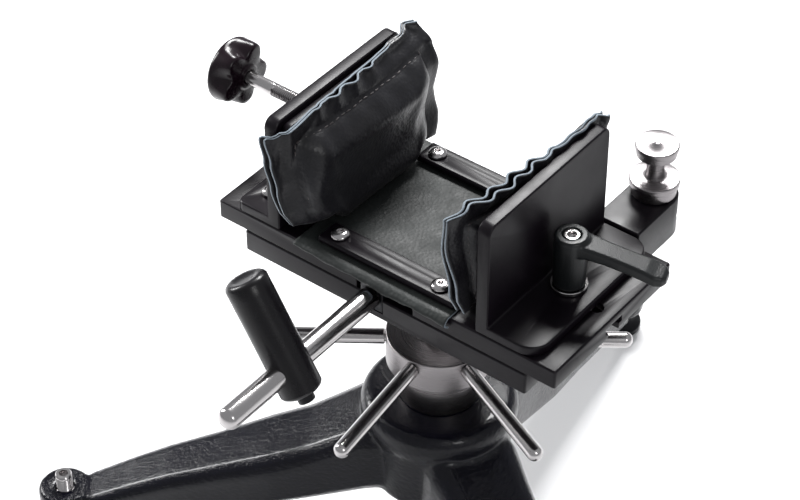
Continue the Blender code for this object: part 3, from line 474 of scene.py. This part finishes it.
def column():
    low, high = node_box("lift_column")
    rows = [(0, low.z), (8.6, low.z), (9.4, low.z + 0.8)]
    rows += thread_rows(10.0, low.z + 1.0, high.z - 9.0, 2.5, 1.25, 6)
    rows += [(10.0, high.z - 8.9), (9.9, high.z), (0, high.z)]
    piece("lift_screw", lathe(rows, 64), BAR, "column", "lift_column")
    low, high = node_box("column_flange")
    r = (high.x - low.x) / 2
    rows = [(10.3, low.z), (r - 1.0, low.z), *rounded_edge(r, low.z, 0.8, up=-1)[::-1],
            *rounded_edge(r, high.z, 0.6), (10.3, high.z)]
    piece("flange", lathe(rows, 96), OXIDE, "column", "column_flange")
    for i in range(3):
        low, high = node_box(f"flange_screw_{i + 1}")
        at = ((low.x + high.x) / 2, (low.y + high.y) / 2, low.z + 4.0)
        rows = cap_head((high.x - low.x) / 2, 4.0, 4.0, 2.2)
        piece(f"flange_cap_{i + 1}", lathe(rows, 48), OXIDE, "column", f"flange_screw_{i + 1}", at,
              pointing((0, 0, -1)))


def capstan():
    low, high = node_box("capstan_hub")
    r = (high.x - low.x) / 2
    rows = [(10.3, low.z), (r - 1.2, low.z), *rounded_edge(r, low.z, 1.0, up=-1)[::-1],
            *rounded_edge(r, high.z, 0.8, steps=4), (14.5, high.z), (14.0, high.z - 0.35),
            (12.2, high.z - 0.35), (11.6, high.z), (10.9, high.z), (10.3, high.z - 0.7)]
    piece("hub", lathe(rows, 144), TURNED, "capstan", "capstan_hub")
    for i in range(6):
        node = f"capstan_spoke_{i + 1}"
        low, high = node_box(node)
        centre = (low + high) / 2
        angle = math.atan2(centre.y, centre.x)
        reach, radius, root = 108.6, 4.5, r + 0.3
        neck = [(0, 23.5), (3.0, 23.5), (3.0, root), (radius - 0.5, root), (radius, root + 0.5)]
        rows = neck + [(radius, root + (reach - 4.6 - root) * k / 4) for k in range(1, 4)]
        rows += dome_rows(radius, reach, 4.2)
        piece(f"spoke_{i + 1}", lathe(rows, 56), BAR, "capstan", node, (0, 0, centre.z),
              pointing((math.cos(angle), math.sin(angle), 0)))


# ---------------------------------------------------------------- traverse shaft

HANDLE_LEAN = math.radians(32)


def traverse_shaft():
    low, high = node_box("traverse_shaft")
    radius = (high.x - low.x) / 2
    x, z = (low.x + high.x) / 2, (low.z + high.z) / 2
    end = -low.y
    rows = [(0, -high.y), (3.5, -high.y), (4.0, -high.y + 0.5), (4.0, -FRONT + 0.2),
            (radius - 0.4, -FRONT + 0.3), (radius, -FRONT + 0.7)]
    rows += [(radius, -FRONT + (end + FRONT) * k / 5) for k in range(1, 5)]
    rows += dome_rows(radius, end, radius * 0.8, 12)
    piece("shaft_bar", lathe(rows, 80), BAR, "traverse_shaft", "traverse_shaft", (x, 0, z),
          pointing((0, -1, 0)))
    lean = Vector((-math.sin(HANDLE_LEAN), 0, math.cos(HANDLE_LEAN)))
    low, high = node_box("traverse_handle")
    y, r = (low.y + high.y) / 2, (high.y - low.y) / 2
    up, down = 54.0, 16.0
    rows = [(0, -down), (r - 2.6, -down), (r - 0.8, -down + 1.2), (r, -down + 2.4)]
    rows += [(r, -down + (up + down) * k / 8) for k in range(1, 8)]
    rows += [(r, up - 2.6), (r - 0.5, up - 1.5), (r - 1.6, up - 0.5), (r - 2.8, up), (r - 5.5, up - 0.1),
             (r - 6.2, up - 0.5), (0, up - 0.7)]
    piece("grip", lathe(rows, 96), GRIP, "traverse_shaft", "traverse_handle", (x, y, z), pointing(lean))
    seat = Vector((x, y, z)) - lean * (down + 0.3)
    rows = cap_head(4.8, 5.2, 4.0, 2.6)
    piece("grip_screw", lathe(rows, 48), OXIDE, "traverse_shaft", "handle_clamp_screw", seat,
          pointing(-lean))


# ---------------------------------------------------------------- jaws' metal

def button_screws():
    for row in ("front", "rear"):
        for i in (1, 2):
            node = f"bar_screw_{row}_{i}"
            low, high = node_box(node)
            seat = node_box(f"clamp_bar_{row}")[1].z + 0.3
            at = ((low.x + high.x) / 2, (low.y + high.y) / 2, seat)
            rows = cap_head((high.x - low.x) / 2, high.z - seat, 3.0, 1.5, dome=1.0)
            piece(f"button_{row}_{i}", lathe(rows, 60), BAR, "carriage", node, at)
    for i in (1, 2):
        node = f"bracket_screw_{i}"
        low, high = node_box(node)
        at = ((low.x + high.x) / 2, (low.y + high.y) / 2, TOP + 6.6)
        rows = cap_head((high.x - low.x) / 2, 3.0, 3.0, 1.6, dome=1.0)
        piece(f"bracket_button_{i}", lathe(rows, 60), BAR, "carriage", node, at)


def lever():
    low, high = node_box("clamp_washer")
    centre = (low + high) / 2
    r = (high.x - low.x) / 2
    rows = [(3.3, low.z), (r - 0.3, low.z), (r, low.z + 0.3), (r, high.z - 0.3), (r - 0.3, high.z),
            (3.3, high.z)]
    piece("washer", lathe(rows, 80), BAR, "right_jaw", "clamp_washer", (centre.x, centre.y, 0))
    smoothed_copy("clamp_lever", "lever", LEVER_FINISH, "clamp_lever", 0.55, 4)
    low, high = node_box("lever_screw")
    at = ((low.x + high.x) / 2, (low.y + high.y) / 2, high.z - 3.2)
    rows = cap_head((high.x - low.x) / 2, 3.2, 4.4, 2.2)
    piece("lever_cap", lathe(rows, 60), BAR, "clamp_stud", "lever_screw", at)


def star_knob():
    low, high = node_box("star_knob")
    z = middle("jaw_screw").z

    def lobed(share, cut):
        return lambda a: share * (19.2 - cut * ((1 - math.cos(5 * a)) / 2) ** 1.5)
    rows = [(0, 0.0), (5.5, 0.12), (9.0, 0.45), (13.2, 1.05), (16.3, 1.9), (18.1, 2.9), (19.0, 4.0),
            (lobed(1.0, 0.1), 5.0), (lobed(1.0, 1.0), 6.4), (lobed(1.0, 3.0), 9.6),
            (lobed(1.0, 5.0), 12.8), (lobed(0.99, 6.0), 14.6), (lobed(0.965, 6.3), 15.7),
            (lobed(0.91, 6.4), 16.4), (lobed(0.82, 6.0), 16.7), (8.6, 16.9), (7.6, 17.2), (7.0, 17.9),
            (6.6, 18.2), (4.4, 18.2), (4.3, 12.0), (0, 12.0)]
    piece("knob", lathe(rows, 160), KNOB_PLASTIC, "knob", "star_knob", (low.x, 0, z),
          pointing((1, 0, 0)), sharp=50)
    low, high = node_box("jaw_screw")
    end = high.x - low.x
    rows = [(0, 0), (4.0, 0)] + [(4.0, 6.0), (4.0, 20.0)] + thread_rows(4.0, 24.0, end - 4.6, 1.25, 0.6, 6)
    rows += [(3.9, end - 4.0), (2.6, end - 3.9), (2.6, end - 0.3), (2.3, end), (0, end)]
    piece("screw_bar", lathe(rows, 48), BAR, "knob", "jaw_screw", (low.x, 0, z), pointing((1, 0, 0)))


def stop_post():
    low, high = node_box("stop_post")
    centre = (low + high) / 2
    z = node_box("stop_block")[1].z + 0.3
    rows = [(0, -12.0), (3.0, -12.0), (3.0, -0.1), (12.0, 0), (12.6, 0.6), (12.6, 6.3), (13.5, 6.5),
            *rounded_edge(14.1, 6.6, 0.4, up=-1, steps=3)[::-1], *rounded_edge(14.1, 10.6, 0.6),
            (8.4, 10.6), (6.0, 10.7), (5.2, 11.0), (4.9, 11.6), (4.9, 18.0), (4.9, 25.0), (5.2, 25.7),
            (6.0, 25.9), (10.6, 26.0), (11.2, 26.6), (11.2, 29.9), (11.7, 30.1),
            *rounded_edge(12.1, 30.2, 0.4, up=-1, steps=3)[::-1], *rounded_edge(12.1, 33.6, 0.6),
            (2.0, 33.6), (1.2, 33.3), (0, 33.1)]
    piece("post", lathe(rows, 128), TURNED, "stop_post", "stop_post", (centre.x, centre.y, z))


def plain_metal():
    """CAD nodes that stay: a real finish, and smooth shading over their chamfers and corners."""
    for name, node in frame["nodes"].items():
        if node.hide_render:
            continue
        node.data.shade_smooth()
        weld = node.modifiers.new("weld", "WELD")
        weld.merge_threshold = 1e-5
        flat = node.modifiers.new("flat", "DECIMATE")
        flat.decimate_type = "DISSOLVE"
        flat.angle_limit = math.radians(0.6)
        edge = node.modifiers.new("edge", "BEVEL")
        edge.width = 0.35 * MM
        edge.segments = 2
        edge.limit_method = "ANGLE"
        edge.angle_limit = math.radians(32)
        edge.harden_normals = True
        for slot in node.material_slots:
            slot.material = NODE_FINISH[NODE_SLOT[name]]


# ---------------------------------------------------------------- leather bag

def ease(t):
    t = max(0.0, min(1.0, t))
    return t * t * (3 - 2 * t)


def round_up(distance, reach):
    """A quarter circle: 0 at a seam, 1 once the distance from it passes reach."""
    return math.sqrt(1 - (1 - max(0.0, min(1.0, distance / reach))) ** 2)


def along(points, t):
    """A smooth value at t from a short list of (t, value) points."""
    for (t0, v0), (t1, v1) in zip(points, points[1:]):
        if t <= t1:
            return v0 + (v1 - v0) * ease((t - t0) / (t1 - t0))
    return points[-1][1]


class Ear:
    """A padded leaf: two hides sewn together, with a raw flange outside the stitches.

    s runs from the front (0) to the back (1), t from the foot (0) to the top (1). side is +1 for
    the right jaw and -1 for the left, and back is the x of the plate that the leaf leans on.
    """
    COLUMNS, ROWS = 76, 52
    WIDE, HIGH = 119.0, 72.0
    FLANGE = 11.5
    HIDE_T = 1.2
    ROUND_SIDE, ROUND_FOOT = 17.0, 10.0
    SETTLE_FRAMES = 20
    SETTLE_CAP = 2.5

    def __init__(self, name, side, back, step, body, front_x, wrap_x, rear_x, top, foot, bulge):
        self.name, self.side, self.back, self.step, self.body = name, side, back, step, body
        self.front_x, self.wrap_x, self.rear_x = front_x, wrap_x, rear_x
        self.top, self.foot, self.bulge = top, foot, bulge

    def outline(self, s, t):
        """y and z of a point of the leaf, seen square on."""
        z0 = TOP + along(self.foot, s)
        z1 = TOP + along(self.top, s)
        z = z0 + (z1 - z0) * t
        rear = 59.5 + 1.8 * math.sin(math.pi * min(1.0, t * 2.4)) * (t < 0.42) \
            + 2.6 * math.sin(math.pi * (t - 0.42) / 0.58) * (t >= 0.42)
        front = -59.5 - 1.2 * math.sin(math.pi * t)
        if t < 0.18:
            front += (1 - t / 0.18) * 4.0
            rear -= (1 - t / 0.18) * 4.5
        return front + (rear - front) * s, z

    def inset(self, s, t):
        """How far in from the raw edge a point is: 0 at the edge, 1 at the stitches and inside."""
        near = min(s * self.WIDE, (1 - s) * self.WIDE, (1 - t) * self.HIGH)
        return near / self.FLANGE

    def seam_x(self, s, t):
        """The x of the surface in which the two hides meet: a leaning plane, its front end turned back."""
        front, rear = along(self.front_x, t), along(self.rear_x, t)
        wrap = 1 - ease(s * self.WIDE / (13.0 + 22.0 * t * t))
        x = front + (rear - front) * ease(s)
        return x + (along(self.wrap_x, t) - front) * wrap

    def point(self, s, t, inner):
        """inner is the hide that faces the cradle; the other lies on the jaw's plate."""
        y, z = self.outline(s, t)
        inset = self.inset(s, t)
        over = max(0.0, inset - 1.0) * self.FLANGE
        rise = max(0.0, t - 0.01) * self.HIGH
        pillow = round_up(over, self.ROUND_SIDE) * round_up(rise, self.ROUND_FOOT)
        loose = 1 - ease(inset / 1.1)
        wave = loose * (1.0 * math.sin(11.0 * s + 2.0 * t) * t + 2.0 * math.sin(50.0 * s + 1.3) * t ** 3
                        + 0.4 * math.sin(9.0 * t + 0.6) * (1 - t))
        spread = 0.75 + loose * (0.9 + 0.8 * math.sin(9.0 * s + 4.0 * t + self.side))
        pucker = 0.35 * math.sin(47 * s + 7 * t) * math.exp(-((inset - 1.25) / 0.4) ** 2)
        x = self.seam_x(s, t) - self.side * wave
        if inner:
            x -= self.side * (spread + self.bulge * pillow + pucker)
        else:
            x += self.side * (spread + 9.0 * pillow)
        return Vector((self.clear(x, y, z, 2.3 if inner else 0.8), y, z))

    def clear(self, x, y, z, gap):
        """Keeps a point in front of the plates that the leaf leans on."""
        behind = 0.0 if abs(y) < 50.8 else ease((abs(y) - 50.8) / 3.4) * self.step
        limit = self.back - self.side * (gap - behind)
        past = max(ease((z - TOP - 75.2) / 3.0), ease((abs(y) - 55.4) / 3.0))
        kept = min(x, limit) if self.side > 0 else max(x, limit)
        return kept + (x - kept) * past

    def hide(self, inner):
        bm = bmesh.new()
        grid = []
        for j in range(self.ROWS + 1):
            row = []
            for i in range(self.COLUMNS + 1):
                row.append(bm.verts.new(self.point(i / self.COLUMNS, j / self.ROWS, inner)))
            grid.append(row)
        for low, high in zip(grid, grid[1:]):
            for a, b, c, d in zip(low, low[1:], high[1:], high):
                bm.faces.new((a, b, c, d))
        item = piece(f"{self.name}_{'inner' if inner else 'outer'}_hide", bm, HIDE, self.body, sharp=0)
        self.drape(item, inner)
        item.data.materials.append(EDGE)
        solid = item.modifiers.new("thickness", "SOLIDIFY")
        solid.thickness = self.HIDE_T * MM
        solid.offset = 0.0
        solid.material_offset_rim = 1
        bake(item)
        item.data.shade_smooth()
        return item

    def drape(self, item, inner):
        """Lets the stuffed part of the hide settle between its stitches."""
        if not inner:
            return
        free = item.vertex_groups.new(name="held")
        rest = [v.co.copy() for v in item.data.vertices]
        for j in range(self.ROWS + 1):
            for i in range(self.COLUMNS + 1):
                s, t = i / self.COLUMNS, j / self.ROWS
                held = self.inset(s, t) < 1.05 or t < 0.03
                free.add([j * (self.COLUMNS + 1) + i], 1.0 if held else 0.0, "REPLACE")
        cloth = item.modifiers.new("cloth", "CLOTH")
        cloth.settings.quality = 6
        cloth.settings.mass = 0.25
        cloth.settings.tension_stiffness = 22
        cloth.settings.compression_stiffness = 22
        cloth.settings.bending_stiffness = 10.0
        cloth.settings.shrink_min = -0.004
        cloth.settings.vertex_group_mass = "held"
        cloth.settings.use_pressure = True
        cloth.settings.uniform_pressure_force = 3.0
        cloth.settings.effector_weights.gravity = 0
        cloth.collision_settings.use_collision = False
        cloth.point_cache.frame_start = 1
        cloth.point_cache.frame_end = self.SETTLE_FRAMES
        for number in range(1, self.SETTLE_FRAMES + 1):
            bpy.context.scene.frame_set(number)
        graph = bpy.context.evaluated_depsgraph_get()
        settled = [v.co.copy() for v in item.evaluated_get(graph).data.vertices]
        item.modifiers.remove(cloth)
        bpy.context.scene.frame_set(1)
        limit = self.SETTLE_CAP * MM
        for v, start, end in zip(item.data.vertices, rest, settled):
            step = end - start
            if step.length > limit:
                step *= limit / step.length
            v.co = start + step
        item.vertex_groups.clear()

    def stitches(self, every=4.6, length=3.0):
        """Thread dashes along the sewn line, standing a little proud of the inner hide."""
        edge_s, edge_t = self.FLANGE * 1.02 / self.WIDE, 1 - self.FLANGE * 1.02 / self.HIGH
        count = 60
        line = [(edge_s, 0.06 + (edge_t - 0.06) * k / count) for k in range(count)]
        line += [(edge_s + (1 - 2 * edge_s) * k / 120, edge_t) for k in range(120)]
        line += [(1 - edge_s, edge_t - (edge_t - 0.06) * k / count) for k in range(count + 1)]
        bm = bmesh.new()
        for inner in (True, False):
            out = Vector((-self.side, 0, 0)) if inner else Vector((self.side, 0, 0))
            path = [self.point(s, t, inner) + out * (self.HIDE_T / 2 + 0.15) for s, t in line]
            travelled, next_at = 0.0, 2.0
            for a, b in zip(path, path[1:]):
                step = (b - a).length
                if travelled + step >= next_at:
                    dash(bm, a, (b - a).normalized(), length, 0.42)
                    next_at += every
                travelled += step
        item = piece(f"{self.name}_stitches", bm, THREAD, self.body, sharp=0)
        return item

    def stuffing_edge(self):
        """The foot of the leaf, rolled under where it meets the floor hide."""
        bm = bmesh.new()
        rings = []
        count, around = 60, 12
        for i in range(count + 1):
            s = 0.05 + 0.90 * i / count
            inner, outer = self.point(s, 0.0, True), self.point(s, 0.0, False)
            centre = (inner + outer) / 2
            wide = abs(outer.x - inner.x) / 2 + 0.4
            ring = []
            for k in range(around):
                a = TAU * k / around
                ring.append(bm.verts.new((centre.x + wide * math.cos(a), centre.y,
                                          centre.z + 1.6 + 1.5 * math.sin(a))))
            rings.append(ring)
        for low, high in zip(rings, rings[1:]):
            for k in range(around):
                m = (k + 1) % around
                bm.faces.new((low[k], low[m], high[m], high[k]))
        bm.faces.new(rings[0])
        bm.faces.new(rings[-1][::-1])
        item = piece(f"{self.name}_foot_roll", bm, HIDE, self.body, sharp=0)
        return item

    def build(self, node):
        inner, outer = self.hide(True), self.hide(False)
        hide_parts(node)
        self.stitches()
        self.stuffing_edge()


def dash(bm, at, direction, length, radius):
    """One stitch: a short thread with rounded ends."""
    turn = pointing(direction)
    rings = []
    stations = ((-0.5, 0.35, -0.35), (-0.34, 0.9, -0.05), (0, 1.0, 0.12), (0.34, 0.9, -0.05),
                (0.5, 0.35, -0.35))
    for share, scale, _ in stations:
        ring = []
        for k in range(6):
            a = TAU * k / 6
            local = Vector((radius * scale * math.cos(a), radius * scale * math.sin(a), length * share))
            ring.append(bm.verts.new(at + turn @ local))
        rings.append(ring)
    for low, high in zip(rings, rings[1:]):
        for k in range(6):
            m = (k + 1) % 6
            bm.faces.new((low[k], low[m], high[m], high[k]))
    bm.faces.new(rings[0])
    bm.faces.new(rings[-1][::-1])


def bag_ears():
    left_back = node_box("pressure_plate")[1].x + 0.3
    right_back = node_box("right_bracket")[0].x - 0.3
    left = Ear("left_ear", -1, left_back, 5.2, "left_jaw",
               front_x=((0, -52.0), (0.35, -55.0), (1, -61.5)),
               wrap_x=((0, -60.0), (0.45, -67.0), (0.75, -72.5), (1, -77.5)),
               rear_x=((0, -49.0), (0.3, -53.0), (0.65, -51.0), (0.85, -56.0), (1, -66.0)),
               top=((0, 65.0), (0.09, 70.5), (0.3, 73.5), (0.6, 75.0), (0.85, 76.5), (1, 78.5)),
               foot=((0, 10.2), (0.20, 10.0), (0.27, 3.0), (0.765, 3.0), (0.83, 10.0), (1, 10.2)),
               bulge=8.6)
    left.build("left_ear")
    right = Ear("right_ear", 1, right_back, 0.0, "right_jaw",
                front_x=((0, 54.0), (0.3, 53.5), (0.7, 51.5), (1, 53.0)),
                wrap_x=((0, 54.0), (0.3, 52.5), (0.7, 47.5), (1, 49.0)),
                rear_x=((0, 57.0), (0.5, 58.0), (0.8, 61.0), (1, 64.5)),
                top=((0, 71.0), (0.1, 75.0), (0.5, 76.0), (0.9, 76.5), (1, 74.5)),
                foot=((0, 10.2), (0.20, 10.0), (0.27, 3.0), (0.765, 3.0), (0.83, 10.0), (1, 10.2)),
                bulge=11.8)
    right.build("right_ear")


def floor_hide():
    """The hide between the ears: flat under the bars, hanging in a soft roll over the front edge."""
    low, high = node_box("bag_floor")
    y0, y1 = FRONT - 0.9, -FRONT + 0.9
    z = TOP + 0.88
    drop = 7.0
    bm = bmesh.new()
    across, rows = 70, []
    stations = [("lip_front", k / 14) for k in range(15)]
    stations += [("floor", k / 60) for k in range(1, 60)]
    stations += [("lip_rear", k / 14) for k in range(15)]
    for kind, t in stations:
        row = []
        for i in range(across + 1):
            s = i / across
            x = low.x + 0.6 + (high.x - low.x - 1.2) * s
            wrinkle = 0.28 * math.sin(x * 0.31 + t * 5) + 0.2 * math.sin(x * 0.83 + 1.7)
            if kind == "floor":
                y = y0 + (y1 - y0) * t
                height = z - 0.05
                open_y = ease((abs_inside(y) - 1.0) / 6.0)
                height += open_y * (0.30 + 0.14 * math.sin(x * 0.10 + y * 0.05)
                                    + 0.04 * math.sin(x * 0.31 - y * 0.17))
            else:
                front = kind == "lip_front"
                fall = 1 - t if front else t
                reach = drop if front else 1.8
                uneven = 0.45 + 0.35 * ease(s * 1.3) + 0.12 * math.sin(x * 0.16 + 0.8) \
                    + 0.07 * math.sin(x * 0.47)
                reach *= min(1.0, uneven) if front else 1.0
                bow = math.sin(math.pi * min(1, fall * 1.15)) * (1.6 + 1.2 * s if front else 0.6)
                y = (y0 - 0.35 - bow - 0.5 * fall + wrinkle * fall * 0.5) if front \
                    else (y1 + 0.35 + bow + fall * 2.4)
                height = z - reach * fall
            row.append(bm.verts.new((x, y, height)))
        rows.append(row)
    for near, far in zip(rows, rows[1:]):
        for a, b, c, d in zip(near, near[1:], far[1:], far):
            bm.faces.new((a, b, c, d))
    item = piece("floor_hide", bm, FLOOR_HIDE, "carriage", sharp=0)
    item.data.materials.append(EDGE)
    solid = item.modifiers.new("thickness", "SOLIDIFY")
    solid.thickness = 1.1 * MM
    solid.offset = 0.0
    solid.material_offset_rim = 1
    bake(item)
    item.data.shade_smooth()
    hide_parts("bag_floor")


def abs_inside(y):
    """How far a point is inside the two clamp bars, in millimetres."""
    front = node_box("clamp_bar_front")[1].y
    rear = node_box("clamp_bar_rear")[0].y
    return min(y - front, rear - y)


# ---------------------------------------------------------------- stage

def stage():
    bm = bmesh.new()
    bmesh.ops.create_grid(bm, x_segments=1, y_segments=1, size=4.0)
    mesh = bpy.data.meshes.new("floor")
    bm.to_mesh(mesh)
    bm.free()
    floor = bpy.data.objects.new("floor", mesh)
    floor.location.z = -0.0004
    mesh.materials.append(floor_card())
    bpy.context.scene.collection.objects.link(floor)


def soft_light(name, at, aim, size, power, colour=(1, 1, 1)):
    data = bpy.data.lights.new(name, "AREA")
    data.shape = "RECTANGLE"
    data.size, data.size_y = size
    data.energy = power
    data.color = colour
    light = bpy.data.objects.new(name, data)
    bpy.context.scene.collection.objects.link(light)
    light.location = at
    light.rotation_euler = (Vector(aim) - Vector(at)).to_track_quat("-Z", "Y").to_euler()


def lighting():
    world = bpy.data.worlds.new("studio")
    world.use_nodes = True
    background = world.node_tree.nodes["Background"]
    background.inputs["Color"].default_value = (0.95, 0.97, 1.0, 1)
    background.inputs["Strength"].default_value = 0.40
    bpy.context.scene.world = world
    bpy.context.scene.view_settings.view_transform = "Standard"
    aim = ORIGIN + Vector((0, 0, 0.24))
    soft_light("overhead", aim + Vector((-0.35, 0.75, 1.0)), aim, (0.50, 0.30), 26)
    soft_light("left_bank", aim + Vector((-1.15, -0.20, 0.50)), aim, (0.20, 0.6), 14)
    soft_light("right_fill", aim + Vector((1.1, -0.5, 0.7)), aim, (0.3, 0.4), 3.0)


VIEW_AZIMUTH, VIEW_ELEVATION = math.radians(37.75), math.radians(41.06)
VIEW_ROLL = math.radians(-0.12)
VIEW_DISTANCE, VIEW_LENS = 1380.84, 114.13
VIEW_RIGHT, VIEW_UP = -22.67, -10.45      # where the view's middle is, from the plate's centre


def camera():
    a, e = VIEW_AZIMUTH, VIEW_ELEVATION
    forward = Vector((-math.sin(a) * math.cos(e), math.cos(a) * math.cos(e), -math.sin(e)))
    right = Vector((math.cos(a), math.sin(a), 0))
    up = right.cross(forward)
    target = Vector((0, 0, TOP)) + right * VIEW_RIGHT + up * VIEW_UP
    data = bpy.data.cameras.new("view")
    data.sensor_width = 36.0
    data.lens = VIEW_LENS
    data.clip_start = 0.05
    view = bpy.data.objects.new("view", data)
    bpy.context.scene.collection.objects.link(view)
    turn = Matrix((right, up, -forward)).transposed() @ Matrix.Rotation(VIEW_ROLL, 3, "Z")
    view.matrix_world = Matrix.Translation(ORIGIN + (target - forward * VIEW_DISTANCE) * MM) \
        @ turn.to_4x4()
    bpy.context.scene.camera = view


camera()
lighting()
stage()
base()
feet()
column()
capstan()
traverse_shaft()
button_screws()
lever()
star_knob()
stop_post()
bag_ears()
floor_hide()
plain_metal()
